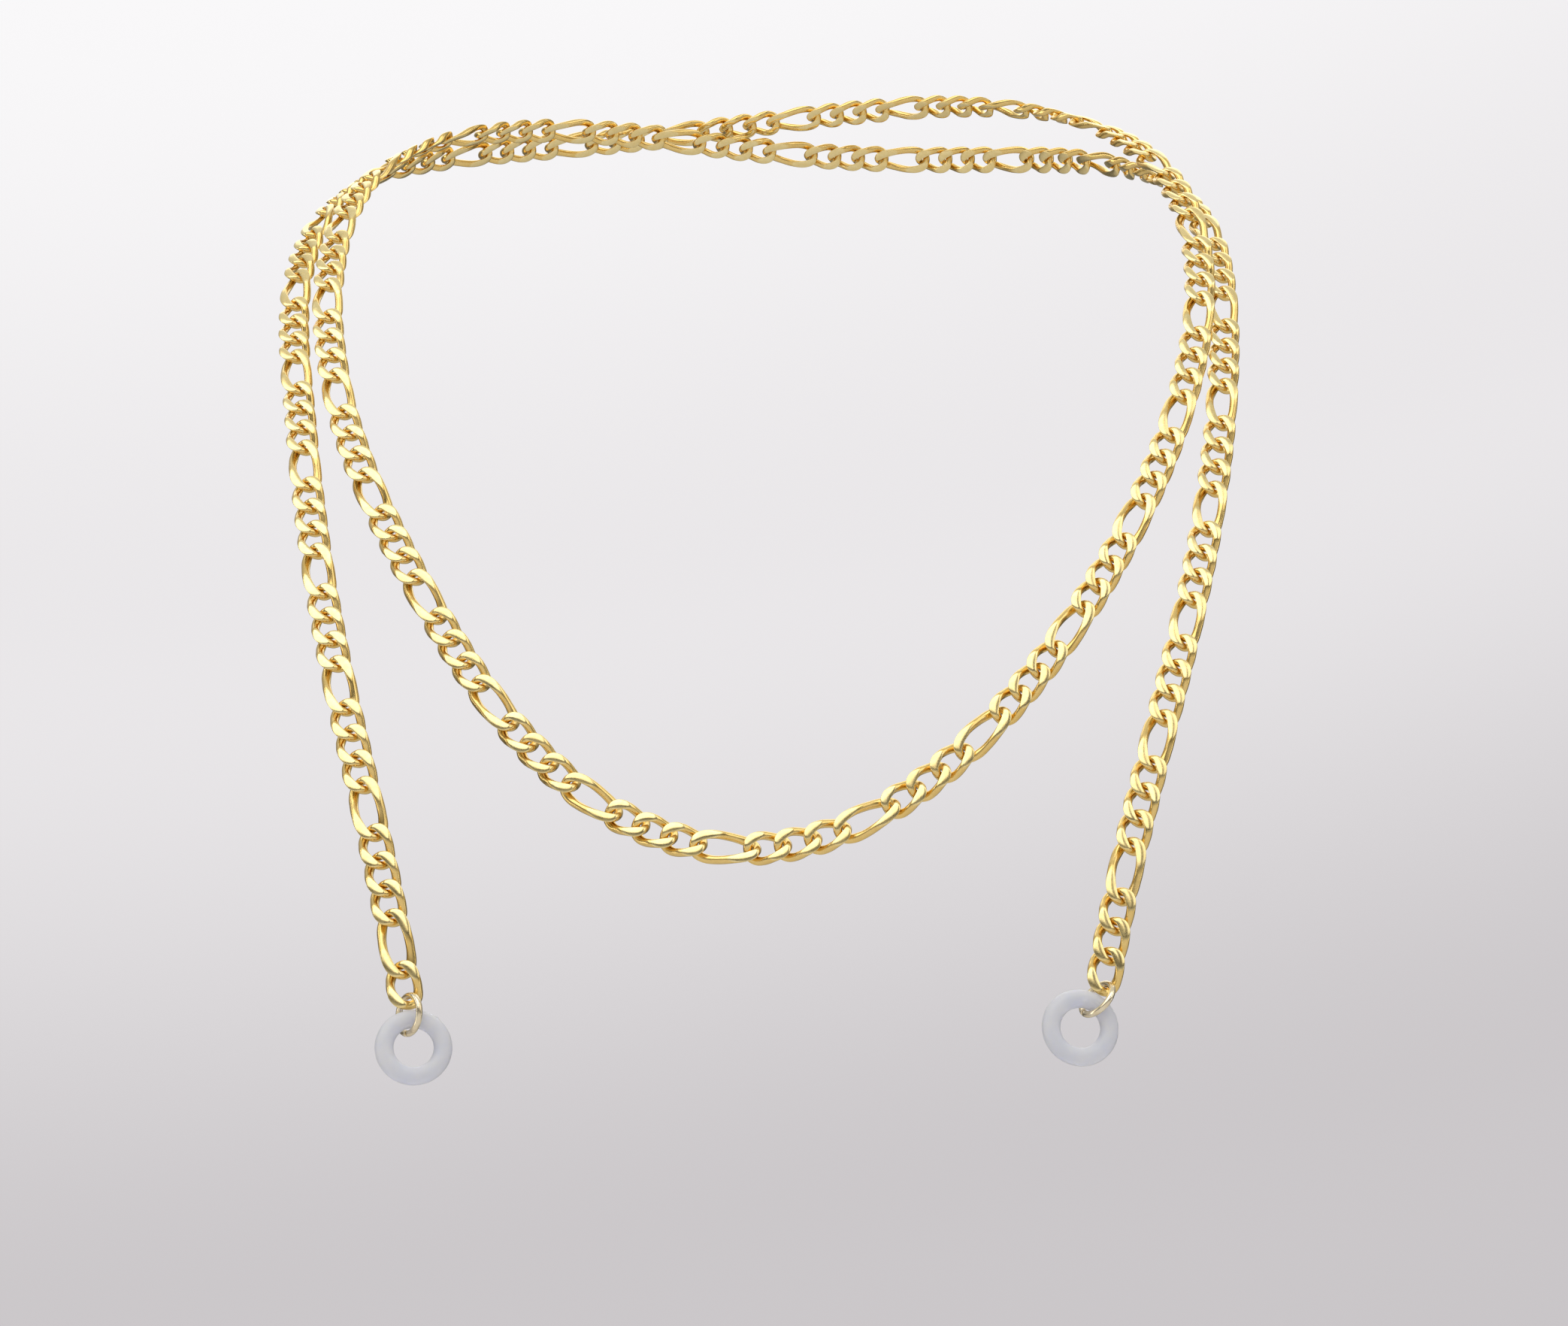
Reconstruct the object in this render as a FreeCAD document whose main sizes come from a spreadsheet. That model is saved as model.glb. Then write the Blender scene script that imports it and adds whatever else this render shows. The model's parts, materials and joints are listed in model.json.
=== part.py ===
import FreeCAD, Part
import math, os

# Eyeglasses chain strap: one long Figaro chain (three short twisted curb links, then one long link),
# with a split jump ring and a soft silicone temple ring at each end.
# It is draped once round a neck: left ring, up the left side, behind the neck, down the right side,
# across the chest, up the left side, behind the neck again, and down the right side to the right ring.
# Frame: +Z up, -Y forward (away from the wearer's chest), +X to the right seen from the front.
# The origin is the centre of the neck opening. Millimetres.

# ---------------------------------------------------------------- driving dimensions
DIMS = [
    ("chain_width", 3.8, "outside width of a link"),
    ("wire_dia", 0.95, "link wire before flattening"),
    ("pitch_short", 3.4, "centre to centre of two short links"),
    ("pitch_long", 6.0, "length that a long link adds to the strand"),
    ("link_gap", 0.12, "running clearance between two hooked links"),
    ("twist_rise", 0.68, "height that the curb twist lifts each shoulder of a link"),
    ("face_half", 0.70, "half the thickness between the two pressed faces"),
    ("face_spread", 0.16, "share by which pressing widens the wire under a face"),
    ("face_dome", 0.12, "drop of a pressed face from its middle to its ends"),
    ("face_belly", 0.09, "drop of a pressed face from its middle to its sides"),
    ("face_rounding", 0.20, "softness of a pressed face's edge"),
    ("corner_power", 0.9, "fullness of the link's oval"),
    ("stretch_blend", 1.2, "how softly a long link runs into its straight sides"),
    ("figaro_units", 48, "number of long links"),
    ("silicone_od", 8.0, "temple ring outside diameter"),
    ("silicone_cord", 1.9, "temple ring section"),
    ("jump_od", 4.7, "jump ring outside diameter"),
    ("jump_wire", 0.7, "jump ring wire"),
    ("jump_split", 7.0, "split of the jump ring in degrees"),
    ("ring_play", 0.14, "clearance of the jump ring on what it holds"),
    ("left_lean", 12.0, "sideways lean of the left ring in degrees"),
    ("right_lean", 31.0, "sideways lean of the right ring in degrees"),
    ("ring_tip", 8.0, "fore and aft tip of the temple rings in degrees"),
    ("jump_yaw", -38.0, "turn of a jump ring about its hanging line, square to the twisted end wire"),
    ("ring_yaw", -10.0, "turn of a temple ring about its hanging line"),
]

# Drape points, evenly spaced along the chain's centre line, from the left end link to the right one.
DRAPE = [
    (-37.04, -22.20, -120.22), (-38.94, -22.82, -112.37), (-41.00, -23.11, -104.53), (-43.18, -23.12, -96.71),
    (-45.39, -22.88, -88.90), (-47.52, -22.44, -81.07), (-49.49, -21.86, -73.21), (-51.28, -21.13, -65.31),
    (-52.90, -20.21, -57.38), (-54.40, -19.04, -49.46), (-55.85, -17.52, -41.52), (-57.31, -15.68, -33.32),
    (-58.39, -13.55, -24.82), (-58.70, -10.96, -16.38), (-58.06, -7.98, -8.34), (-56.32, -4.78, -1.02),
    (-53.30, -1.40, 5.33), (-48.84, 2.10, 10.64), (-43.16, 5.48, 15.12), (-36.37, 8.63, 18.90),
    (-28.75, 11.33, 22.07), (-20.27, 13.17, 24.63), (-11.57, 13.82, 26.40), (-2.89, 13.25, 27.36),
    (5.52, 11.78, 27.52), (13.49, 9.65, 26.87), (20.94, 7.02, 25.41), (27.87, 4.03, 23.05),
    (34.12, 0.82, 19.84), (39.57, -2.55, 15.81), (44.14, -5.97, 11.05), (47.84, -9.36, 5.61),
    (50.68, -12.62, -0.42), (52.69, -15.60, -7.02), (53.89, -18.17, -14.17), (54.22, -20.14, -21.79),
    (53.68, -21.62, -29.68), (52.31, -22.62, -37.61), (50.26, -23.28, -45.44), (47.63, -23.71, -53.09),
    (44.51, -23.95, -60.57), (40.91, -23.93, -67.84), (36.84, -23.62, -74.84), (32.25, -23.00, -81.49),
    (27.10, -22.07, -87.67), (21.31, -20.90, -93.21), (14.76, -19.61, -97.80), (7.42, -18.43, -100.96),
    (-0.53, -17.66, -102.10), (-8.51, -17.44, -100.95), (-15.90, -17.71, -97.72), (-22.40, -18.24, -92.92),
    (-27.95, -18.82, -87.05), (-32.72, -19.27, -80.50), (-36.93, -19.47, -73.57), (-40.81, -19.40, -66.44),
    (-44.40, -19.09, -59.17), (-47.61, -18.63, -51.72), (-50.25, -18.04, -44.02), (-52.26, -17.26, -35.98),
    (-53.67, -16.00, -27.65), (-54.28, -14.05, -19.31), (-54.14, -11.47, -11.18), (-53.13, -8.52, -3.56),
    (-50.96, -5.42, 3.43), (-47.35, -2.20, 9.55), (-42.31, 1.04, 14.62), (-35.92, 4.18, 18.50),
    (-28.50, 7.02, 21.21), (-20.51, 9.70, 22.92), (-12.32, 12.17, 23.85), (-4.30, 14.19, 24.31),
    (3.87, 15.50, 24.28), (12.02, 15.81, 23.78), (19.98, 14.99, 22.74), (27.54, 13.06, 21.05),
    (34.46, 10.14, 18.63), (40.50, 6.48, 15.47), (45.57, 2.34, 11.52), (49.62, -1.99, 6.79),
    (52.71, -6.26, 1.32), (54.93, -10.26, -4.83), (56.34, -13.77, -11.63), (57.02, -16.63, -18.98),
    (57.00, -18.73, -26.76), (56.43, -20.30, -34.72), (55.48, -21.52, -42.70), (54.24, -22.49, -50.66),
    (52.74, -23.32, -58.59), (50.99, -24.00, -66.49), (49.02, -24.56, -74.34), (46.87, -25.00, -82.15),
    (44.61, -25.29, -89.93), (42.33, -25.37, -97.71), (40.13, -25.20, -105.50), (38.11, -24.74, -113.34),
    (36.31, -24.00, -121.20),
]

# Centre of the neck and the depth range over which the flat band turns from facing forward
# on the chest to facing away from the neck behind it.
NECK = (0.0, 8.2, 2.7)
FACE_FROM_Y = -21.4
FACE_SPAN_Y = 35.0

doc = FreeCAD.newDocument("glasses_chain_strap")
sheet = doc.addObject("Spreadsheet::Sheet", "Dims")
for row, (alias, value, note) in enumerate(DIMS, start=1):
    sheet.set("A%d" % row, alias)
    sheet.set("B%d" % row, str(value))
    sheet.setAlias("B%d" % row, alias)
    sheet.set("C%d" % row, note)
doc.recompute()


def dim(alias):
    return float(sheet.get(alias))


# ---------------------------------------------------------------- geometry of the strand

def v_add(a, b): return (a[0] + b[0], a[1] + b[1], a[2] + b[2])
def v_sub(a, b): return (a[0] - b[0], a[1] - b[1], a[2] - b[2])
def v_mul(a, k): return (a[0] * k, a[1] * k, a[2] * k)
def v_dot(a, b): return a[0] * b[0] + a[1] * b[1] + a[2] * b[2]
def v_cross(a, b): return (a[1] * b[2] - a[2] * b[1], a[2] * b[0] - a[0] * b[2], a[0] * b[1] - a[1] * b[0])
def v_unit(a): return v_mul(a, 1.0 / math.sqrt(v_dot(a, a)))


class Drape:
    """Natural cubic spline through the drape points, read by arc length."""

    def __init__(self, pts):
        n = len(pts)
        self.p, self.m = pts, [[0.0] * n for _ in range(3)]
        for k in range(3):
            a, b, m = [0.0] * n, [0.0] * n, self.m[k]
            for i in range(1, n - 1):
                r = 6.0 * (pts[i + 1][k] - 2.0 * pts[i][k] + pts[i - 1][k])
                w = 4.0 - a[i - 1]
                a[i], b[i] = 1.0 / w, (r - b[i - 1]) / w
            for i in range(n - 2, 0, -1):
                m[i] = b[i] - a[i] * m[i + 1]
        self.step, self.arc = 0.02, [0.0]
        last = self.at_t(0.0)
        for j in range(1, int(round((n - 1) / self.step)) + 1):
            q = self.at_t(j * self.step)
            d = v_sub(q, last)
            self.arc.append(self.arc[-1] + math.sqrt(v_dot(d, d)))
            last = q

    def at_t(self, t):
        i = min(max(int(t), 0), len(self.p) - 2)
        u = t - i
        out = []
        for k in range(3):
            y0, y1, m0, m1 = self.p[i][k], self.p[i + 1][k], self.m[k][i], self.m[k][i + 1]
            out.append(y0 * (1 - u) + y1 * u + ((1 - u) ** 3 - (1 - u)) * m0 / 6.0 + (u ** 3 - u) * m1 / 6.0)
        return tuple(out)

    def t_of(self, s):
        lo, hi = 0, len(self.arc) - 1
        if s <= 0.0:
            return s / (self.arc[1] / self.step)
        if s >= self.arc[-1]:
            return hi * self.step + (s - self.arc[-1]) / ((self.arc[-1] - self.arc[-2]) / self.step)
        while hi - lo > 1:
            mid = (lo + hi) // 2
            if self.arc[mid] <= s:
                lo = mid
            else:
                hi = mid
        return (lo + (s - self.arc[lo]) / (self.arc[hi] - self.arc[lo])) * self.step

    def point(self, s):
        return self.at_t(self.t_of(s))

    def tangent(self, s):
        return v_unit(v_sub(self.point(s + 0.05), self.point(s - 0.05)))


def band_normal(p, t, neck, y_front, y_span):
    """Face direction of the flat band: forward on the chest, away from the neck behind it."""
    w = min(max((p[1] - y_front) / y_span, 0.0), 1.0)
    w = w * w * (3.0 - 2.0 * w)
    out = v_unit(v_sub(p, neck))
    n = v_add(v_mul((0.0, -1.0, 0.0), 1.0 - w), v_mul(out, w))
    return v_unit(v_sub(n, v_mul(t, v_dot(n, t))))


def link_kinds(units):
    """One short end link, then a long link and three short ones for each unit."""
    return ["short"] + ["long", "short", "short", "short"] * units


def link_frames(drape, kinds, pitch_s, pitch_l, neck, y_front, y_span):
    """Centre, tangent, normal and kind of every link in order along the strand."""
    frames, s, last = [], 0.0, None
    for kind in kinds:
        if last is not None:
            s += pitch_s if kind == last else (pitch_s + pitch_l) / 2.0
        p, t = drape.point(s), drape.tangent(s)
        frames.append((s, p, t, band_normal(p, t, neck, y_front, y_span), kind))
        last = kind
    out = []
    for i, (s, p, t, n, kind) in enumerate(frames):
        total = (0.0, 0.0, 0.0)
        for j in range(max(i - 5, 0), min(i + 6, len(frames))):
            total = v_add(total, v_mul(frames[j][3], 6.0 - abs(i - j)))
        out.append((s, p, t, v_unit(v_sub(total, v_mul(t, v_dot(total, t)))), kind))
    return out


V = FreeCAD.Vector


def spline_poles(rows):
    """Poles of a closed uniform cubic spline that passes through the rows (each a list of vectors)."""
    n = len(rows)
    poles = [list(r) for r in rows]
    for _ in range(8):
        new = []
        for i in range(n):
            a, b, c = poles[i - 1], poles[i], poles[(i + 1) % n]
            new.append([b[j] + rows[i][j] - (a[j] + b[j] * 4.0 + c[j]) * (1.0 / 6.0) for j in range(len(b))])
        poles = new
    return poles


def soft_min(a, b, width):
    """The smaller of two numbers, with the crossing between them rounded off."""
    h = max(width - abs(a - b), 0.0) / width
    return min(a, b) - h * h * width / 4.0


def link_solid(kind):
    """One closed twisted curb link, lying along X with its flat faces towards +Z and -Z."""
    wire = dim("wire_dia")
    half_w = (dim("chain_width") - wire) / 2.0
    half_s = (dim("pitch_short") + wire + dim("link_gap")) / 2.0
    extra = (dim("pitch_long") - dim("pitch_short")) / 2.0 if kind == "long" else 0.0
    rise, flat, power, soft = dim("twist_rise"), dim("face_half"), dim("corner_power"), dim("stretch_blend")
    nu, nv = (28 if kind == "long" else 22), 12

    def centre(a):
        ca, sa = math.cos(a), math.sin(a)
        x = half_s * ca + extra * ca * math.sqrt(1.0 + soft * soft) / math.sqrt(ca * ca + soft * soft)
        y = half_w * math.copysign(abs(sa) ** power, sa)
        return V(x, y, -rise * math.sin(2.0 * a))

    # stations evenly spaced along the wire
    fine = 2880
    pts = [centre(2.0 * math.pi * (i + 0.5) / fine) for i in range(fine + 1)]
    run = [0.0]
    for i in range(fine):
        run.append(run[-1] + (pts[i + 1] - pts[i]).Length)
    rows, j = [], 0
    for i in range(nu):
        want = run[-1] * i / nu
        while run[j + 1] < want:
            j += 1
        a = 2.0 * math.pi * (j + 0.5 + (want - run[j]) / (run[j + 1] - run[j])) / fine
        p, along = centre(a), (centre(a + 0.01) - centre(a - 0.01)).normalize()
        up = V(0, 0, 1) - along * along.z
        up.normalize()
        side = along.cross(up)
        # how much of the wire the face takes off here, and how far that spreads it
        cut = min(max((abs(p.z) + wire / 2.0 * up.z - flat) / (rise + wire / 2.0 - flat), 0.0), 1.0)
        wide = wire / 2.0 * (1.0 + dim("face_spread") * cut * cut * (3.0 - 2.0 * cut))
        top = flat - dim("face_dome") * (1.0 - abs(p.z) / rise)
        ring = []
        for q in range(nv):
            b = 2.0 * math.pi * q / nv
            r = p + side * (wide * math.cos(b)) + up * (wire / 2.0 * math.sin(b))
            lid = top - dim("face_belly") * math.cos(b) ** 2
            r.z = -soft_min(-soft_min(r.z, lid, dim("face_rounding")), lid, dim("face_rounding"))
            ring.append(r)
        rows.append(ring)
    poles = spline_poles(rows)
    turned = spline_poles([list(c) for c in zip(*poles)])
    poles = [list(c) for c in zip(*turned)]
    surface = Part.BSplineSurface()
    surface.buildFromPolesMultsKnots(
        poles, [1] * (nu + 1), [1] * (nv + 1),
        [i / float(nu) for i in range(nu + 1)], [i / float(nv) for i in range(nv + 1)], True, True, 3, 3)
    solid = Part.Solid(Part.Shell([surface.toShape()]))
    if solid.Volume < 0:
        solid.reverse()
    return solid


def placed(solid, p, t, n):
    """A copy of the solid with its X along t and its Z along n, centred on p."""
    w = v_cross(n, t)
    m = FreeCAD.Matrix(t[0], w[0], n[0], p[0], t[1], w[1], n[1], p[1], t[2], w[2], n[2], p[2], 0, 0, 0, 1)
    c = solid.copy()
    c.transformShape(m)
    return c


masters = {"short": link_solid("short"), "long": link_solid("long")}
drape = Drape(DRAPE)
kinds = link_kinds(int(dim("figaro_units")))
frames = link_frames(drape, kinds, dim("pitch_short"), dim("pitch_long"), NECK, FACE_FROM_Y, FACE_SPAN_Y)

# ---------------------------------------------------------------- which links make which node
# The strand is cut into groups of four links at a joint between two short links.
NAMES = (
    ["left_tail_links_%d" % i for i in range(1, 6)]
    + ["left_collar_outer_%d" % i for i in range(1, 4)]
    + ["nape_strand_a_%d" % i for i in range(1, 9)]
    + ["right_collar_inner_%d" % i for i in range(1, 4)]
    + ["front_right_links_%d" % i for i in range(1, 3)]
    + ["front_centre_links_%d" % i for i in range(1, 7)]
    + ["front_left_links_%d" % i for i in range(1, 3)]
    + ["left_collar_inner_%d" % i for i in range(1, 4)]
    + ["nape_strand_b_%d" % i for i in range(1, 9)]
    + ["right_collar_outer_%d" % i for i in range(1, 5)]
    + ["right_tail_links_%d" % i for i in range(5, 0, -1)]
)
groups = [range(0, 3)]
while groups[-1][-1] + 1 < len(frames):
    first = groups[-1][-1] + 1
    groups.append(range(first, min(first + 4, len(frames))))
if len(groups) != len(NAMES):
    raise RuntimeError("%d groups for %d names" % (len(groups), len(NAMES)))

parts = []
for name, members in zip(NAMES, groups):
    obj = doc.addObject("Part::Feature", name)
    obj.Label = name
    obj.Shape = Part.makeCompound([placed(masters[frames[i][4]], *frames[i][1:4]) for i in members])
    parts.append(obj)


# ---------------------------------------------------------------- jump rings and silicone temple rings
def end_set(side):
    """Where the jump ring and the temple ring of one end sit, hanging from the end link's wire."""
    s, p, t, n, kind = frames[0] if side == "left" else frames[-1]
    out = v_mul(t, -1.0) if side == "left" else t
    half_s = (dim("pitch_short") + dim("wire_dia") + dim("link_gap")) / 2.0
    hook = v_add(p, v_mul(out, half_s))
    lean = math.radians(dim(side + "_lean"))
    down = (math.sin(lean) * (1.0 if side == "left" else -1.0), 0.0, -math.cos(lean))
    ring_r = (dim("jump_od") - dim("jump_wire")) / 2.0
    drop1 = ring_r - dim("jump_wire") / 2.0 - dim("wire_dia") / 2.0 - dim("ring_play")
    drop2 = ring_r - dim("jump_wire") / 2.0 - dim("silicone_cord") / 2.0 - dim("ring_play")
    jump = v_add(hook, v_mul(down, drop1))
    hold = v_add(jump, v_mul(down, drop2))
    across = v_unit(v_cross(down, (0.0, -1.0, 0.0)))
    fore = v_cross(down, across)

    def turned(angle):
        return v_add(v_mul(across, math.cos(math.radians(angle))), v_mul(fore, math.sin(math.radians(angle))))

    axis, cord = turned(dim("jump_yaw")), turned(dim("ring_yaw"))
    tip = math.radians(dim("ring_tip"))
    back = v_cross(cord, down)
    if back[1] < 0:
        back = v_mul(back, -1.0)
    lower = v_add(v_mul(down, math.cos(tip)), v_mul(back, math.sin(tip)))
    ring = v_add(hold, v_mul(lower, (dim("silicone_od") - dim("silicone_cord")) / 2.0))
    face = v_unit(v_cross(cord, lower))
    return hook, down, jump, axis, hold, cord, ring, face


def torus_at(name, centre, axis, start):
    """A torus object whose own Z is the axis and whose own X points along start."""
    obj = doc.addObject("Part::Torus", name)
    obj.Label = name
    z = v_unit(axis)
    x = v_unit(v_sub(start, v_mul(z, v_dot(start, z))))
    y = v_cross(z, x)
    m = FreeCAD.Matrix(x[0], y[0], z[0], centre[0], x[1], y[1], z[1], centre[1], x[2], y[2], z[2], centre[2], 0, 0, 0, 1)
    obj.Placement = FreeCAD.Placement(m)
    return obj


for side in ("left", "right"):
    hook, down, jump, axis, hold, cord, ring, face = end_set(side)
    # the split sits low on the ring, a little to the back
    front = v_cross(v_unit(axis), down)
    if front[1] > 0:
        front = v_mul(front, -1.0)
    start = v_add(down, v_mul(front, -0.35))
    j = torus_at(side + "_jump_ring", jump, axis, start)
    j.setExpression("Radius1", "(Dims.jump_od - Dims.jump_wire) / 2")
    j.setExpression("Radius2", "Dims.jump_wire / 2")
    j.setExpression("Angle3", "360 - Dims.jump_split")
    parts.append(j)
    r = torus_at(side + "_temple_ring", ring, face, down)
    r.setExpression("Radius1", "(Dims.silicone_od - Dims.silicone_cord) / 2")
    r.setExpression("Radius2", "Dims.silicone_cord / 2")
    parts.append(r)

doc.recompute()

# ---------------------------------------------------------------- check and write
for obj in doc.Objects:
    if "Invalid" in obj.State or "Error" in obj.State:
        raise RuntimeError("%s is %s" % (obj.Name, obj.State))
os.makedirs("parts", exist_ok=True)
total = 0.0
for obj in parts:
    if obj.Shape.isNull() or not obj.Shape.isValid():
        raise RuntimeError("%s has a bad shape" % obj.Label)
    total += obj.Shape.Volume
    obj.Shape.exportStep("parts/%s.step" % obj.Label)
print("%d nodes, %d links, %.0f mm3, chain %.1f mm" % (len(parts), len(frames), total, frames[-1][0]))
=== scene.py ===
import json
import math

import bmesh
import bpy
import numpy as np
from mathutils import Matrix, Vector


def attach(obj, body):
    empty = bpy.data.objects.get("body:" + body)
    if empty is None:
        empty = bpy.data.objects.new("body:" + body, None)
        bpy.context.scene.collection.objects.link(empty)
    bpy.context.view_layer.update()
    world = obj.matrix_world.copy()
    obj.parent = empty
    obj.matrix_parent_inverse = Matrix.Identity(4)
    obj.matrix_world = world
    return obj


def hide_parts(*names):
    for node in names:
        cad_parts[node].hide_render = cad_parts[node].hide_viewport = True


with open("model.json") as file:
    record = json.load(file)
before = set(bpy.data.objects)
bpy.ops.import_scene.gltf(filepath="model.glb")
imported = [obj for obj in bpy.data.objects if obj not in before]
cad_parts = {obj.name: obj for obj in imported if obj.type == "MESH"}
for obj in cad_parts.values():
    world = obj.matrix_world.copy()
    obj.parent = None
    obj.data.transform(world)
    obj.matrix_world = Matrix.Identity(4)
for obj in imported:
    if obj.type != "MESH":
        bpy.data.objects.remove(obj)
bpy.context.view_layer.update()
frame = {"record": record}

# The strand's centre line, evenly spaced, from the left end link to the right one, in millimetres.
DRAPE = [
    (-37.04, -22.20, -120.22), (-38.94, -22.82, -112.37), (-41.00, -23.11, -104.53), (-43.18, -23.12, -96.71),
    (-45.39, -22.88, -88.90), (-47.52, -22.44, -81.07), (-49.49, -21.86, -73.21), (-51.28, -21.13, -65.31),
    (-52.90, -20.21, -57.38), (-54.40, -19.04, -49.46), (-55.85, -17.52, -41.52), (-57.31, -15.68, -33.32),
    (-58.39, -13.55, -24.82), (-58.70, -10.96, -16.38), (-58.06, -7.98, -8.34), (-56.32, -4.78, -1.02),
    (-53.30, -1.40, 5.33), (-48.84, 2.10, 10.64), (-43.16, 5.48, 15.12), (-36.37, 8.63, 18.90),
    (-28.75, 11.33, 22.07), (-20.27, 13.17, 24.63), (-11.57, 13.82, 26.40), (-2.89, 13.25, 27.36),
    (5.52, 11.78, 27.52), (13.49, 9.65, 26.87), (20.94, 7.02, 25.41), (27.87, 4.03, 23.05),
    (34.12, 0.82, 19.84), (39.57, -2.55, 15.81), (44.14, -5.97, 11.05), (47.84, -9.36, 5.61),
    (50.68, -12.62, -0.42), (52.69, -15.60, -7.02), (53.89, -18.17, -14.17), (54.22, -20.14, -21.79),
    (53.68, -21.62, -29.68), (52.31, -22.62, -37.61), (50.26, -23.28, -45.44), (47.63, -23.71, -53.09),
    (44.51, -23.95, -60.57), (40.91, -23.93, -67.84), (36.84, -23.62, -74.84), (32.25, -23.00, -81.49),
    (27.10, -22.07, -87.67), (21.31, -20.90, -93.21), (14.76, -19.61, -97.80), (7.42, -18.43, -100.96),
    (-0.53, -17.66, -102.10), (-8.51, -17.44, -100.95), (-15.90, -17.71, -97.72), (-22.40, -18.24, -92.92),
    (-27.95, -18.82, -87.05), (-32.72, -19.27, -80.50), (-36.93, -19.47, -73.57), (-40.81, -19.40, -66.44),
    (-44.40, -19.09, -59.17), (-47.61, -18.63, -51.72), (-50.25, -18.04, -44.02), (-52.26, -17.26, -35.98),
    (-53.67, -16.00, -27.65), (-54.28, -14.05, -19.31), (-54.14, -11.47, -11.18), (-53.13, -8.52, -3.56),
    (-50.96, -5.42, 3.43), (-47.35, -2.20, 9.55), (-42.31, 1.04, 14.62), (-35.92, 4.18, 18.50),
    (-28.50, 7.02, 21.21), (-20.51, 9.70, 22.92), (-12.32, 12.17, 23.85), (-4.30, 14.19, 24.31),
    (3.87, 15.50, 24.28), (12.02, 15.81, 23.78), (19.98, 14.99, 22.74), (27.54, 13.06, 21.05),
    (34.46, 10.14, 18.63), (40.50, 6.48, 15.47), (45.57, 2.34, 11.52), (49.62, -1.99, 6.79),
    (52.71, -6.26, 1.32), (54.93, -10.26, -4.83), (56.34, -13.77, -11.63), (57.02, -16.63, -18.98),
    (57.00, -18.73, -26.76), (56.43, -20.30, -34.72), (55.48, -21.52, -42.70), (54.24, -22.49, -50.66),
    (52.74, -23.32, -58.59), (50.99, -24.00, -66.49), (49.02, -24.56, -74.34), (46.87, -25.00, -82.15),
    (44.61, -25.29, -89.93), (42.33, -25.37, -97.71), (40.13, -25.20, -105.50), (38.11, -24.74, -113.34),
    (36.31, -24.00, -121.20),
]
NECK = (0.0, 8.2, 2.7)
FACE_FROM_Y = -21.4
FACE_SPAN_Y = 35.0

def v_add(a, b): return (a[0] + b[0], a[1] + b[1], a[2] + b[2])
def v_sub(a, b): return (a[0] - b[0], a[1] - b[1], a[2] - b[2])
def v_mul(a, k): return (a[0] * k, a[1] * k, a[2] * k)
def v_dot(a, b): return a[0] * b[0] + a[1] * b[1] + a[2] * b[2]
def v_cross(a, b): return (a[1] * b[2] - a[2] * b[1], a[2] * b[0] - a[0] * b[2], a[0] * b[1] - a[1] * b[0])
def v_unit(a): return v_mul(a, 1.0 / math.sqrt(v_dot(a, a)))


class Drape:
    """Natural cubic spline through the drape points, read by arc length."""

    def __init__(self, pts):
        n = len(pts)
        self.p, self.m = pts, [[0.0] * n for _ in range(3)]
        for k in range(3):
            a, b, m = [0.0] * n, [0.0] * n, self.m[k]
            for i in range(1, n - 1):
                r = 6.0 * (pts[i + 1][k] - 2.0 * pts[i][k] + pts[i - 1][k])
                w = 4.0 - a[i - 1]
                a[i], b[i] = 1.0 / w, (r - b[i - 1]) / w
            for i in range(n - 2, 0, -1):
                m[i] = b[i] - a[i] * m[i + 1]
        self.step, self.arc = 0.02, [0.0]
        last = self.at_t(0.0)
        for j in range(1, int(round((n - 1) / self.step)) + 1):
            q = self.at_t(j * self.step)
            d = v_sub(q, last)
            self.arc.append(self.arc[-1] + math.sqrt(v_dot(d, d)))
            last = q

    def at_t(self, t):
        i = min(max(int(t), 0), len(self.p) - 2)
        u = t - i
        out = []
        for k in range(3):
            y0, y1, m0, m1 = self.p[i][k], self.p[i + 1][k], self.m[k][i], self.m[k][i + 1]
            out.append(y0 * (1 - u) + y1 * u + ((1 - u) ** 3 - (1 - u)) * m0 / 6.0 + (u ** 3 - u) * m1 / 6.0)
        return tuple(out)

    def t_of(self, s):
        lo, hi = 0, len(self.arc) - 1
        if s <= 0.0:
            return s / (self.arc[1] / self.step)
        if s >= self.arc[-1]:
            return hi * self.step + (s - self.arc[-1]) / ((self.arc[-1] - self.arc[-2]) / self.step)
        while hi - lo > 1:
            mid = (lo + hi) // 2
            if self.arc[mid] <= s:
                lo = mid
            else:
                hi = mid
        return (lo + (s - self.arc[lo]) / (self.arc[hi] - self.arc[lo])) * self.step

    def point(self, s):
        return self.at_t(self.t_of(s))

    def tangent(self, s):
        return v_unit(v_sub(self.point(s + 0.05), self.point(s - 0.05)))


def band_normal(p, t, neck, y_front, y_span):
    """Face direction of the flat band: forward on the chest, away from the neck behind it."""
    w = min(max((p[1] - y_front) / y_span, 0.0), 1.0)
    w = w * w * (3.0 - 2.0 * w)
    out = v_unit(v_sub(p, neck))
    n = v_add(v_mul((0.0, -1.0, 0.0), 1.0 - w), v_mul(out, w))
    return v_unit(v_sub(n, v_mul(t, v_dot(n, t))))


def link_kinds(units):
    """One short end link, then a long link and three short ones for each unit."""
    return ["short"] + ["long", "short", "short", "short"] * units


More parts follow.
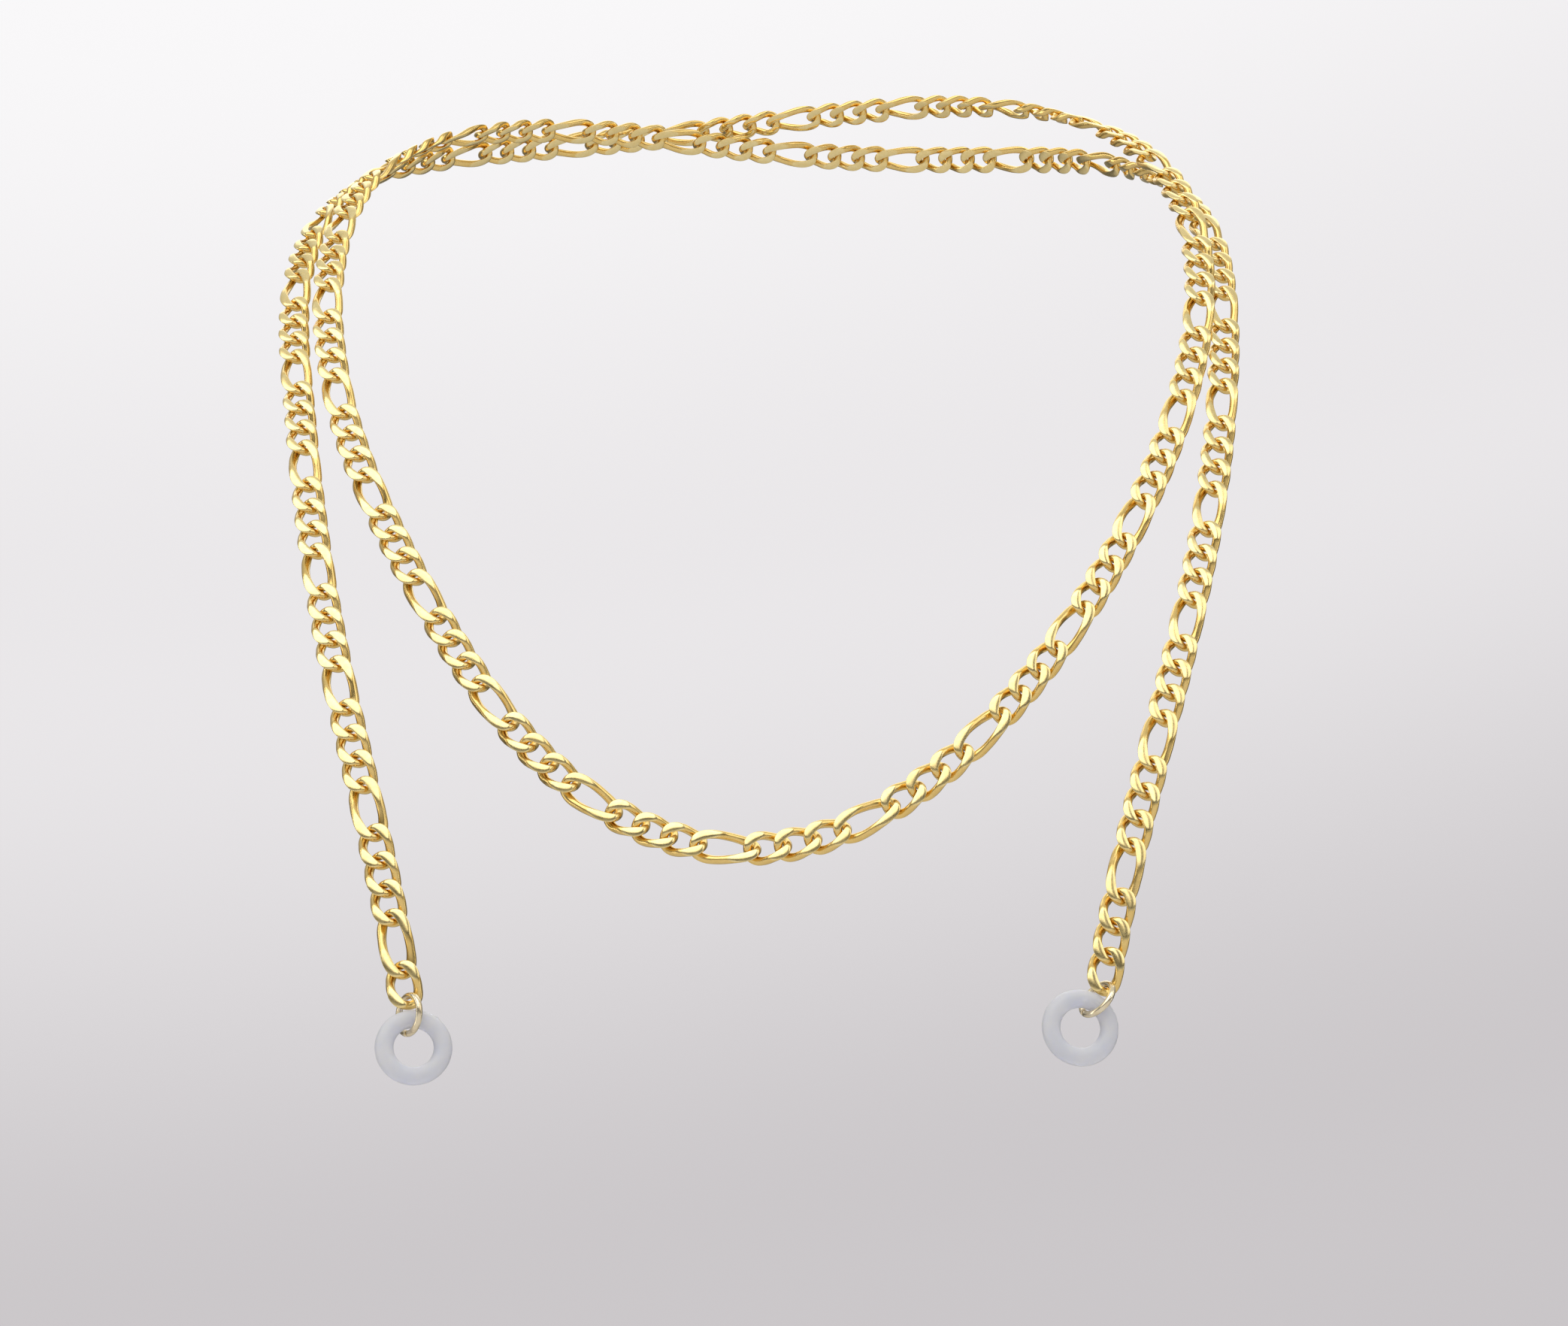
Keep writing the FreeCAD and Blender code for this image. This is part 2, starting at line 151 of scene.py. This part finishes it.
def link_frames(drape, kinds, pitch_s, pitch_l, neck, y_front, y_span):
    """Centre, tangent, normal and kind of every link in order along the strand."""
    frames, s, last = [], 0.0, None
    for kind in kinds:
        if last is not None:
            s += pitch_s if kind == last else (pitch_s + pitch_l) / 2.0
        p, t = drape.point(s), drape.tangent(s)
        frames.append((s, p, t, band_normal(p, t, neck, y_front, y_span), kind))
        last = kind
    out = []
    for i, (s, p, t, n, kind) in enumerate(frames):
        total = (0.0, 0.0, 0.0)
        for j in range(max(i - 5, 0), min(i + 6, len(frames))):
            total = v_add(total, v_mul(frames[j][3], 6.0 - abs(i - j)))
        out.append((s, p, t, v_unit(v_sub(total, v_mul(t, v_dot(total, t)))), kind))
    return out


# ---------------------------------------------------------------- colours and lights of the look
# painted shade: the wire sides get a darker, more orange copy of the gold that stands in for reflections between the
# links, and the ground faces get the paler lit copy
GOLD_SHADED_SIDE_A, GOLD_SHADED_SIDE_B = (0.86, 0.60, 0.19, 1.0), (0.92, 0.67, 0.25, 1.0)
GOLD_LIT_FACE_A, GOLD_LIT_FACE_B = (0.95, 0.76, 0.34, 1.0), (0.99, 0.83, 0.42, 1.0)
GOLD_TINT = (0.90, 0.66, 0.25, 1.0)
GOLD_ROUGH = (0.15, 0.24)
SIL_A, SIL_B, SIL_TRANS = (0.81, 0.835, 1.00, 1.0), (0.89, 0.895, 1.00, 1.0), 0.30
BACKDROP = [(0.0, (0.52, 0.50, 0.515, 1.0)), (0.30, (0.60, 0.575, 0.59, 1.0)), (0.52, (0.82, 0.80, 0.815, 1.0)), (0.72, (0.95, 0.94, 0.95, 1.0))]
ROOM = [(0.0, (0.018, 0.016, 0.014, 1.0)), (0.45, (0.05, 0.048, 0.046, 1.0)), (0.7, (0.26, 0.255, 0.25, 1.0)), (1.0, (0.75, 0.75, 0.75, 1.0))]
# name, place, aim, size, watts, colour
LIGHTS = [
    ("key_front_left", (-0.26, -0.66, 0.38), (0.0, 0.0, -0.05), (0.95, 0.70), 3.2, (1.0, 0.98, 0.95)),
    ("fill_front_right", (0.52, -0.56, 0.26), (0.0, 0.0, -0.05), (0.55, 0.60), 1.1, (1.0, 0.98, 0.96)),
    ("strip_left", (-0.60, -0.12, 0.02), (0.0, 0.0, -0.05), (0.10, 0.6), 0.45, (1.0, 0.99, 0.97)),
    ("rim_right", (0.62, -0.10, -0.02), (0.0, 0.0, -0.05), (0.10, 0.5), 0.22, (1.0, 0.99, 0.97)),
    ("top_wide", (0.10, 0.55, 1.25), (0.0, 0.15, -0.3), (1.7, 1.2), 5.0, (0.98, 0.99, 1.0)),
]

# ---------------------------------------------------------------- the strand, as it is designed (millimetres)
WIDTH, WIRE, PITCH_S, PITCH_L, GAP = 3.8, 0.95, 3.4, 6.0, 0.12
RISE, FLAT, FULL, SOFT = 0.68, 0.70, 0.9, 1.2
SPREAD, DOME, BELLY, ROUNDING = 0.16, 0.12, 0.09, 0.20
HALF_S = (PITCH_S + WIRE + GAP) / 2.0
MM = 0.001

NAMES = (
    ["left_tail_links_%d" % i for i in range(1, 6)]
    + ["left_collar_outer_%d" % i for i in range(1, 4)]
    + ["nape_strand_a_%d" % i for i in range(1, 9)]
    + ["right_collar_inner_%d" % i for i in range(1, 4)]
    + ["front_right_links_%d" % i for i in range(1, 3)]
    + ["front_centre_links_%d" % i for i in range(1, 7)]
    + ["front_left_links_%d" % i for i in range(1, 3)]
    + ["left_collar_inner_%d" % i for i in range(1, 4)]
    + ["nape_strand_b_%d" % i for i in range(1, 9)]
    + ["right_collar_outer_%d" % i for i in range(1, 5)]
    + ["right_tail_links_%d" % i for i in range(5, 0, -1)]
)
drape = Drape(DRAPE)
kinds = link_kinds(48)
frames = link_frames(drape, kinds, PITCH_S, PITCH_L, NECK, FACE_FROM_Y, FACE_SPAN_Y)
groups = [list(range(0, 3))]
while groups[-1][-1] + 1 < len(frames):
    first = groups[-1][-1] + 1
    groups.append(list(range(first, min(first + 4, len(frames)))))
rng = np.random.default_rng(48)


def unit_rows(a):
    return a / np.maximum(np.linalg.norm(a, axis=-1, keepdims=True), 1e-12)


def area_normals(verts, quads):
    """Vertex normals weighted by face area, so that flat faces stay flat up to their softened edges."""
    a, b, c, d = (verts[quads[:, k]] for k in range(4))
    fn = np.cross(c - a, d - b)
    out = np.zeros_like(verts)
    for k in range(4):
        np.add.at(out, quads[:, k], fn)
    return unit_rows(out)


def grid_quads(nu, nv):
    """Faces of a doubly closed grid."""
    i, j = np.meshgrid(np.arange(nu), np.arange(nv), indexing="ij")
    i2, j2 = (i + 1) % nu, (j + 1) % nv
    return np.stack([i * nv + j, i2 * nv + j, i2 * nv + j2, i * nv + j2], -1).reshape(-1, 4)


def link_master(kind):
    """One twisted curb link with its two faces ground flat: vertices, faces, and how much of a ground face each vertex is."""
    nu = 136 if kind == "long" else 96
    extra = (PITCH_L - PITCH_S) / 2.0 if kind == "long" else 0.0
    half_w, r = (WIDTH - WIRE) / 2.0, WIRE / 2.0

    def centre(a):
        ca, sa = np.cos(a), np.sin(a)
        x = HALF_S * ca + extra * ca * math.sqrt(1.0 + SOFT * SOFT) / np.sqrt(ca * ca + SOFT * SOFT)
        y = half_w * np.sign(sa) * np.abs(sa) ** FULL
        return np.stack([x, y, -RISE * np.sin(2.0 * a)], -1)

    fine = 5760
    af = 2 * math.pi * (np.arange(fine + 1) + 0.5) / fine
    pf = centre(af)
    run = np.concatenate([[0.0], np.cumsum(np.linalg.norm(np.diff(pf, axis=0), axis=1))])
    a = np.interp(run[-1] * np.arange(nu) / nu, run, af)
    c, along = centre(a), unit_rows(centre(a + 0.01) - centre(a - 0.01))
    up = unit_rows(np.array([0, 0, 1.0]) - along * along[:, 2:3])
    side = np.cross(along, up)
    # pressing the faces flat spreads the wire sideways where it is ground
    cut = np.clip((np.abs(c[:, 2]) + r * up[:, 2] - FLAT) / (RISE + r - FLAT), 0.0, 1.0)
    wide = 1.0 + SPREAD * cut * cut * (3.0 - 2.0 * cut)

    b = np.arange(40) * 2 * math.pi / 40
    p = (c[:, None] + side[:, None] * (r * wide)[:, None, None] * np.cos(b)[None, :, None]
         + up[:, None] * (r * np.sin(b))[None, :, None])
    lid = (FLAT - DOME * (1.0 - np.abs(c[:, 2]) / RISE))[:, None] - BELLY * np.cos(b)[None, :] ** 2
    # this ground-face mask also sets where the gold is painted as the paler lit copy and where as the darker painted
    # shade of the sides
    ground = np.clip((np.abs(p[..., 2]) - lid) / 0.08, 0.0, 1.0)

    def soft_min(u, w):
        h = np.maximum(ROUNDING - np.abs(u - w), 0.0) / ROUNDING
        return np.minimum(u, w) - h * h * ROUNDING / 4.0

    p[..., 2] = -soft_min(-soft_min(p[..., 2], lid), lid)
    nv = p.shape[1]
    v = p.reshape(-1, 3)
    q = grid_quads(nu, nv)
    n = area_normals(v, q)
    if np.sum(n * (v - np.repeat(c, nv, 0))) < 0:
        q = q[:, ::-1]
        n = -n
    return v, q, n, ground.ravel()


def mesh_object(name, verts, quads, normals=None, floats=None):
    me = bpy.data.meshes.new(name)
    me.vertices.add(len(verts))
    me.vertices.foreach_set("co", (verts * MM).astype(np.float32).ravel())
    me.loops.add(len(quads) * 4)
    me.polygons.add(len(quads))
    me.loops.foreach_set("vertex_index", quads.astype(np.int32).ravel())
    me.polygons.foreach_set("loop_start", np.arange(0, len(quads) * 4, 4, dtype=np.int32))
    me.polygons.foreach_set("use_smooth", np.ones(len(quads), bool))
    me.update(calc_edges=True)
    me.validate()
    if normals is not None:
        me.normals_split_custom_set_from_vertices([tuple(x) for x in normals.tolist()])
    for key, values in (floats or {}).items():
        at = me.attributes.new(key, "FLOAT", "POINT")
        at.data.foreach_set("value", values.astype(np.float32))
    ob = bpy.data.objects.new(name, me)
    bpy.context.scene.collection.objects.link(ob)
    return ob


# ---------------------------------------------------------------- materials
def new_material(name):
    m = bpy.data.materials.new(name)
    m.use_nodes = True
    nt = m.node_tree
    nt.nodes.clear()
    out = nt.nodes.new("ShaderNodeOutputMaterial")
    bsdf = nt.nodes.new("ShaderNodeBsdfPrincipled")
    nt.links.new(bsdf.outputs[0], out.inputs[0])
    return m, nt, bsdf


def node(nt, kind, **props):
    n = nt.nodes.new(kind)
    for k, v in props.items():
        setattr(n, k, v)
    return n


def noise(nt, coords, scale, detail=3.0, rough=0.5, stretch=None):
    if stretch is not None:
        mp = node(nt, "ShaderNodeMapping")
        mp.inputs["Scale"].default_value = stretch
        mp.inputs["Rotation"].default_value = (0.35, 0.6, 0.2)
        nt.links.new(coords, mp.inputs["Vector"])
        coords = mp.outputs[0]
    n = node(nt, "ShaderNodeTexNoise")
    n.inputs["Scale"].default_value = scale
    n.inputs["Detail"].default_value = detail
    n.inputs["Roughness"].default_value = rough
    nt.links.new(coords, n.inputs["Vector"])
    return n.outputs["Fac"]


def ramp(nt, value, low, high, from_low=0.0, from_high=1.0):
    mr = node(nt, "ShaderNodeMapRange")
    mr.inputs["From Min"].default_value = from_low
    mr.inputs["From Max"].default_value = from_high
    mr.inputs["To Min"].default_value = low
    mr.inputs["To Max"].default_value = high
    nt.links.new(value, mr.inputs["Value"])
    return mr.outputs[0]


def mix_colour(nt, factor, a, b, blend="MIX"):
    mx = node(nt, "ShaderNodeMix", data_type="RGBA", blend_type=blend)
    for sock, val in ((mx.inputs[0], factor), (mx.inputs[6], a), (mx.inputs[7], b)):
        if isinstance(val, (tuple, float)):
            sock.default_value = val
        else:
            nt.links.new(val, sock)
    return mx.outputs[2]


def maths(nt, op, a, b):
    n = node(nt, "ShaderNodeMath", operation=op)
    for sock, val in ((n.inputs[0], a), (n.inputs[1], b)):
        if isinstance(val, (int, float)):
            sock.default_value = val
        else:
            nt.links.new(val, sock)
    return n.outputs[0]


def bump(nt, bsdf, layers):
    last = None
    for height, strength, distance in layers:
        b = node(nt, "ShaderNodeBump")
        b.inputs["Strength"].default_value = strength
        b.inputs["Distance"].default_value = distance
        nt.links.new(height, b.inputs["Height"])
        if last is not None:
            nt.links.new(last, b.inputs["Normal"])
        last = b.outputs[0]
    nt.links.new(last, bsdf.inputs["Normal"])


def gold_material():
    m, nt, bsdf = new_material("gold_plate")
    co = node(nt, "ShaderNodeTexCoord").outputs["Object"]
    tone = node(nt, "ShaderNodeAttribute", attribute_name="link_tone").outputs["Fac"]
    ground = node(nt, "ShaderNodeAttribute", attribute_name="ground").outputs["Fac"]
    smear = noise(nt, co, 620.0, 3.0, 0.55)
    cloud = noise(nt, co, 1900.0, 2.0, 0.5)
    lines = noise(nt, co, 1.0, 2.0, 0.6, (900.0, 9000.0, 5200.0))
    grain = noise(nt, co, 9500.0, 2.0, 0.6)
    # painted shade and light: the ground mask puts the paler lit copy on the ground faces and the darker painted-shade
    # copy on the wire sides
    side = mix_colour(nt, ramp(nt, smear, 0.0, 1.0, 0.35, 0.65), GOLD_SHADED_SIDE_A, GOLD_SHADED_SIDE_B)
    face = mix_colour(nt, ramp(nt, cloud, 0.0, 1.0, 0.35, 0.65), GOLD_LIT_FACE_A, GOLD_LIT_FACE_B)
    base = mix_colour(nt, ground, side, face)
    base = mix_colour(nt, ramp(nt, tone, 0.0, 0.35), base, GOLD_TINT)
    nt.links.new(base, bsdf.inputs["Base Color"])
    rough = maths(nt, "ADD", ramp(nt, smear, GOLD_ROUGH[0], GOLD_ROUGH[1], 0.3, 0.7), ramp(nt, lines, -0.02, 0.035, 0.3, 0.7))
    rough = maths(nt, "ADD", rough, ramp(nt, tone, -0.02, 0.03))
    nt.links.new(rough, bsdf.inputs["Roughness"])
    bsdf.inputs["Metallic"].default_value = 1.0
    bump(nt, bsdf, [(smear, 0.35, 2.0e-5), (lines, 0.13, 4.0e-6), (grain, 0.2, 2.0e-6)])
    return m


def jump_material():
    m, nt, bsdf = new_material("pale_gold_wire")
    co = node(nt, "ShaderNodeTexCoord").outputs["Object"]
    smear = noise(nt, co, 900.0, 3.0, 0.5)
    grain = noise(nt, co, 9000.0, 2.0, 0.5)
    nt.links.new(mix_colour(nt, ramp(nt, smear, 0.0, 1.0, 0.35, 0.65), (0.93, 0.83, 0.60, 1.0), (0.86, 0.72, 0.46, 1.0)), bsdf.inputs["Base Color"])
    nt.links.new(ramp(nt, smear, 0.12, 0.26, 0.3, 0.7), bsdf.inputs["Roughness"])
    bsdf.inputs["Metallic"].default_value = 1.0
    bump(nt, bsdf, [(smear, 0.3, 1.5e-5), (grain, 0.2, 2.0e-6)])
    return m


def silicone_material():
    m, nt, bsdf = new_material("milky_silicone")
    co = node(nt, "ShaderNodeTexCoord").outputs["Object"]
    cloud = noise(nt, co, 420.0, 3.0, 0.5)
    dust = noise(nt, co, 5200.0, 3.0, 0.65)
    skin = noise(nt, co, 2600.0, 2.0, 0.5)
    rim = node(nt, "ShaderNodeAttribute", attribute_name="rim_highlight").outputs["Fac"]
    base = mix_colour(nt, ramp(nt, cloud, 0.0, 1.0, 0.3, 0.7), SIL_A, SIL_B)
    # painted highlight: the colour turns paler along the outer rim and, weaker, along the bore
    base = mix_colour(nt, ramp(nt, rim, 0.0, 0.6), base, (0.90, 0.89, 0.92, 1.0))
    nt.links.new(base, bsdf.inputs["Base Color"])
    nt.links.new(maths(nt, "ADD", ramp(nt, skin, 0.28, 0.38, 0.3, 0.7), ramp(nt, dust, 0.0, 0.04, 0.55, 0.75)), bsdf.inputs["Roughness"])
    bsdf.inputs["IOR"].default_value = 1.41
    bsdf.inputs["Transmission Weight"].default_value = SIL_TRANS
    bsdf.inputs["Subsurface Weight"].default_value = 1.0
    bsdf.inputs["Subsurface Radius"].default_value = (1.0, 1.0, 1.15)
    bsdf.inputs["Subsurface Scale"].default_value = 0.0016
    bsdf.inputs["Specular IOR Level"].default_value = 0.45
    bump(nt, bsdf, [(cloud, 0.2, 2.0e-5), (skin, 0.25, 5.0e-6)])
    return m


GOLD = gold_material()
PALE = jump_material()
SILICONE = silicone_material()

# ---------------------------------------------------------------- the chain
body_of_node = {n: b for b, members in frame["record"]["behaviour"]["bodies"].items() for n in members}
masters = {k: link_master(k) for k in ("short", "long")}
for name, members in zip(NAMES, groups):
    vs, qs, ns, ground, tone = [], [], [], [], []
    at = 0
    for i in members:
        s, p, t, n, kind = frames[i]
        v, q, vn, g = masters[kind]
        m = np.array([t, v_cross(n, t), n])
        vs.append(v @ m + np.array(p))
        ns.append(vn @ m)
        qs.append(q + at)
        ground.append(g)
        tone.append(np.full(len(v), rng.random()))
        at += len(v)
    ob = mesh_object(name + "_gold", np.concatenate(vs), np.concatenate(qs), np.concatenate(ns),
                     {"ground": np.concatenate(ground), "link_tone": np.concatenate(tone)})
    ob.data.materials.append(GOLD)
    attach(ob, body_of_node[name])
    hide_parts(name)


# ---------------------------------------------------------------- jump rings and silicone rings
JUMP_OD, JUMP_WIRE, JUMP_SPLIT, SIL_OD, SIL_CORD, PLAY = 4.7, 0.7, 7.0, 8.0, 1.9, 0.14
LEAN = {"left": 12.0, "right": 31.0}
RING_TIP, JUMP_YAW, RING_YAW = 8.0, -38.0, -10.0


def end_set(side):
    """Where the jump ring and the temple ring of one end sit, hanging from the end link's wire."""
    s, p, t, n, kind = frames[0] if side == "left" else frames[-1]
    out = v_mul(t, -1.0) if side == "left" else t
    hook = v_add(p, v_mul(out, HALF_S))
    lean = math.radians(LEAN[side])
    down = (math.sin(lean) * (1.0 if side == "left" else -1.0), 0.0, -math.cos(lean))
    ring_r = (JUMP_OD - JUMP_WIRE) / 2.0
    jump = v_add(hook, v_mul(down, ring_r - JUMP_WIRE / 2.0 - WIRE / 2.0 - PLAY))
    hold = v_add(jump, v_mul(down, ring_r - JUMP_WIRE / 2.0 - SIL_CORD / 2.0 - PLAY))
    across = v_unit(v_cross(down, (0.0, -1.0, 0.0)))
    fore = v_cross(down, across)

    def turned(angle):
        return v_add(v_mul(across, math.cos(math.radians(angle))), v_mul(fore, math.sin(math.radians(angle))))

    axis, cord = turned(JUMP_YAW), turned(RING_YAW)
    tip = math.radians(RING_TIP)
    back = v_cross(cord, down)
    if back[1] < 0:
        back = v_mul(back, -1.0)
    lower = v_add(v_mul(down, math.cos(tip)), v_mul(back, math.sin(tip)))
    ring = v_add(hold, v_mul(lower, (SIL_OD - SIL_CORD) / 2.0))
    return hook, down, jump, axis, hold, cord, ring, v_unit(v_cross(cord, lower))


def jump_ring(side, jump, axis, down):
    """Round wire bent into a ring, its two sawn ends a hair apart and slightly out of line."""
    z = np.array(v_unit(axis))
    front = v_cross(v_unit(axis), down)
    if front[1] > 0:
        front = v_mul(front, -1.0)
    x = np.array(v_add(down, v_mul(front, -0.35)))
    x = x - z * (x @ z)
    x /= np.linalg.norm(x)
    y = np.cross(z, x)
    big, small, nu, nv = (JUMP_OD - JUMP_WIRE) / 2.0, JUMP_WIRE / 2.0, 168, 28
    run = math.radians(360.0 - JUMP_SPLIT)
    # stations, with a chamfered sawn face at each end
    ang = list(np.linspace(0.0, run, nu))
    step = 0.035 / big
    stations = [(0.0, 0.0), (0.0, 0.84), (step, 1.0)] + [(u, 1.0) for u in ang[2:-2]] + [(run - step, 1.0), (run, 0.84), (run, 0.0)]
    b = np.arange(nv) * 2 * math.pi / nv
    rows = []
    for u, k in stations:
        ca, sa = math.cos(u), math.sin(u)
        radial = x * ca + y * sa
        shift = 0.018 * (u / run - 0.5)
        c = np.array(jump) + radial * big + z * shift
        kk = max(k, 0.02) * small
        rows.append(c + kk * (np.cos(b)[:, None] * radial + np.sin(b)[:, None] * z))
    v = np.array(rows)
    n_st = len(stations)
    i, j = np.meshgrid(np.arange(n_st - 1), np.arange(nv), indexing="ij")
    j2 = (j + 1) % nv
    q = np.stack([i * nv + j, (i + 1) * nv + j, (i + 1) * nv + j2, i * nv + j2], -1).reshape(-1, 4)
    v = v.reshape(-1, 3)
    # close the two tiny end holes with fans
    me = bpy.data.meshes.new(side + "_jump_ring_wire")
    faces = [tuple(int(e) for e in f[::-1]) for f in q] + [tuple(range(nv)), tuple(range((n_st - 1) * nv + nv - 1, (n_st - 1) * nv - 1, -1))]
    me.from_pydata([tuple(float(e) * MM for e in p) for p in v], [], faces)
    me.update()
    bm = bmesh.new()
    bm.from_mesh(me)
    bmesh.ops.recalc_face_normals(bm, faces=bm.faces)
    bm.to_mesh(me)
    bm.free()
    me.polygons.foreach_set("use_smooth", np.ones(len(me.polygons), bool))
    ob = bpy.data.objects.new(side + "_jump_ring_wire", me)
    bpy.context.scene.collection.objects.link(ob)
    ob.data.materials.append(PALE)
    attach(ob, side + "_jump")
    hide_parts(side + "_jump_ring")


def temple_ring(side, ring, face, down):
    """Moulded silicone ring: a full round section, a fine moulding fin round its rim and bore, painted paler along it
    as a painted highlight, and a torn nick in it.
    """
    z = np.array(v_unit(face))
    x = np.array(down) - z * (np.array(down) @ z)
    x /= np.linalg.norm(x)
    y = np.cross(z, x)
    big, small, nu, nv = (SIL_OD - SIL_CORD) / 2.0, SIL_CORD / 2.0, 288, 64
    u = np.arange(nu) * 2 * math.pi / nu
    b = np.arange(nv) * 2 * math.pi / nv
    seed = {"left": 5, "right": 11}[side]
    g = np.random.default_rng(seed)
    wob = sum(g.uniform(0.3, 1.0) / k * np.cos(k * u + g.uniform(0, 6.28)) for k in (2, 3, 5, 7, 11, 17))
    wob = wob / np.abs(wob).max()
    rag = np.convolve(np.concatenate([g.random(nu)] * 3), np.ones(3) / 3, "same")[nu : 2 * nu]
    uu, bb = np.meshgrid(u, b, indexing="ij")
    rr = small * (1.0 - 0.012 + 0.012 * np.cos(2 * bb))
    rr = rr - 0.006 * wob[:, None] * (1 + np.cos(bb - 0.6))
    outer = np.exp(-((np.angle(np.exp(1j * bb)) / 0.045) ** 2))
    inner = np.exp(-((np.angle(np.exp(1j * (bb - math.pi))) / 0.06) ** 2))
    torn = {"left": (2.35, 0.11), "right": (4.35, 0.03)}[side]
    bore = {"left": 0.012, "right": 0.045}[side]
    nick = torn[1] * np.exp(-((np.angle(np.exp(1j * (u - torn[0]))) / 0.05) ** 2))
    patch = 0.5 + 0.5 * np.cos(u - 3.9)
    rr = rr - 0.03 * outer * 0 + outer * (0.016 + 0.02 * rag[:, None] + nick[:, None])
    rr = rr + inner * (0.008 + bore * (patch * rag)[:, None])
    rr = np.minimum(rr, small * 1.16)
    radial = np.cos(uu)[..., None] * x + np.sin(uu)[..., None] * y
    p = np.array(ring) + radial * (big + 0.02 * wob[:, None, None] * 0.5) + rr[..., None] * (np.cos(bb)[..., None] * radial + np.sin(bb)[..., None] * z)
    # mask of the painted highlight: full along the outer rim, weaker along the bore
    rim_highlight = np.clip(outer + 0.6 * inner, 0, 1)
    v = p.reshape(-1, 3)
    q = grid_quads(nu, nv)
    n = area_normals(v, q)
    cen = (np.array(ring) + radial * big).reshape(-1, 3)
    if np.sum(n * (v - cen)) < 0:
        q = q[:, ::-1]
        n = -n
    ob = mesh_object(side + "_temple_ring_silicone", v, q, None, {"rim_highlight": rim_highlight.ravel()})
    ob.data.materials.append(SILICONE)
    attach(ob, side + "_temple")
    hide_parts(side + "_temple_ring")


for side in ("left", "right"):
    hook, down, jump, axis, hold, cord, ring, face = end_set(side)
    jump_ring(side, jump, axis, down)
    temple_ring(side, ring, face, down)

# ---------------------------------------------------------------- floor, light, camera
scene = bpy.context.scene
FLOOR_Z = -0.34
bm = bmesh.new()
bmesh.ops.create_circle(bm, cap_ends=True, segments=96, radius=7.0)
me = bpy.data.meshes.new("floor")
bm.to_mesh(me)
bm.free()
floor = bpy.data.objects.new("floor", me)
floor.location = (0.0, 0.0, FLOOR_Z)
scene.collection.objects.link(floor)
fm, fnt, fb = new_material("pale_floor")
fco = node(fnt, "ShaderNodeTexCoord").outputs["Object"]
fn = noise(fnt, fco, 2.0, 2.0, 0.5)
fnt.links.new(mix_colour(fnt, ramp(fnt, fn, 0.0, 1.0, 0.3, 0.7), (0.71, 0.695, 0.71, 1.0), (0.75, 0.735, 0.75, 1.0)), fb.inputs["Base Color"])
fb.inputs["Roughness"].default_value = 0.9
floor.data.materials.append(fm)

world = bpy.data.worlds.new("studio")
scene.world = world
world.use_nodes = True
wn = world.node_tree
wn.nodes.clear()
wout = wn.nodes.new("ShaderNodeOutputWorld")
geo = node(wn, "ShaderNodeTexCoord").outputs["Generated"]
sep = node(wn, "ShaderNodeSeparateXYZ")
wn.links.new(geo, sep.inputs[0])
height = maths(wn, "ADD", sep.outputs[2], maths(wn, "MULTIPLY", sep.outputs[0], -0.16))
back_ramp = node(wn, "ShaderNodeValToRGB")
back_ramp.color_ramp.interpolation = "EASE"
for k, (pos, col) in enumerate(BACKDROP):
    if k < 2:
        e = back_ramp.color_ramp.elements[k]
        e.position = pos
    else:
        e = back_ramp.color_ramp.elements.new(pos)
    e.color = col
wn.links.new(height, back_ramp.inputs[0])
seen = node(wn, "ShaderNodeBackground")
wn.links.new(back_ramp.outputs[0], seen.inputs[0])
room = node(wn, "ShaderNodeBackground")
room_ramp = node(wn, "ShaderNodeValToRGB")
for k, (pos, col) in enumerate(ROOM):
    if k < 2:
        e = room_ramp.color_ramp.elements[k]
        e.position = pos
    else:
        e = room_ramp.color_ramp.elements.new(pos)
    e.color = col
wn.links.new(ramp(wn, sep.outputs[2], 0.0, 1.0, -1.0, 1.0), room_ramp.inputs[0])
wn.links.new(room_ramp.outputs[0], room.inputs[0])
room.inputs[1].default_value = 1.0
mixw = node(wn, "ShaderNodeMixShader")
wn.links.new(node(wn, "ShaderNodeLightPath").outputs["Is Camera Ray"], mixw.inputs[0])
wn.links.new(room.outputs[0], mixw.inputs[1])
wn.links.new(seen.outputs[0], mixw.inputs[2])
wn.links.new(mixw.outputs[0], wout.inputs[0])


def softbox(name, place, aim, size, watts, colour=(1.0, 1.0, 1.0), spread=180.0):
    data = bpy.data.lights.new(name, "AREA")
    data.shape = "RECTANGLE"
    data.size, data.size_y = size
    data.energy = watts
    data.color = colour
    data.spread = math.radians(spread)
    ob = bpy.data.objects.new(name, data)
    ob.location = place
    d = Vector(aim) - Vector(place)
    ob.rotation_euler = d.to_track_quat("-Z", "Y").to_euler()
    scene.collection.objects.link(ob)
    ob.visible_camera = False
    return ob


for args in LIGHTS:
    softbox(*args)

cam_data = bpy.data.cameras.new("camera")
cam = bpy.data.objects.new("camera", cam_data)
cam.location = (0.003, -0.287, -0.231)
cam.rotation_euler = (math.radians(119.5), 0.0, 0.0)
cam_data.sensor_width = 36.0
cam_data.lens = 3600.0 / 2086.0 * 36.0
cam_data.clip_start, cam_data.clip_end = 0.01, 50.0
scene.collection.objects.link(cam)
scene.camera = cam
scene.view_settings.view_transform = "Standard"
scene.view_settings.look = "None"
scene.view_settings.exposure = 0.0
scene.view_settings.gamma = 1.0
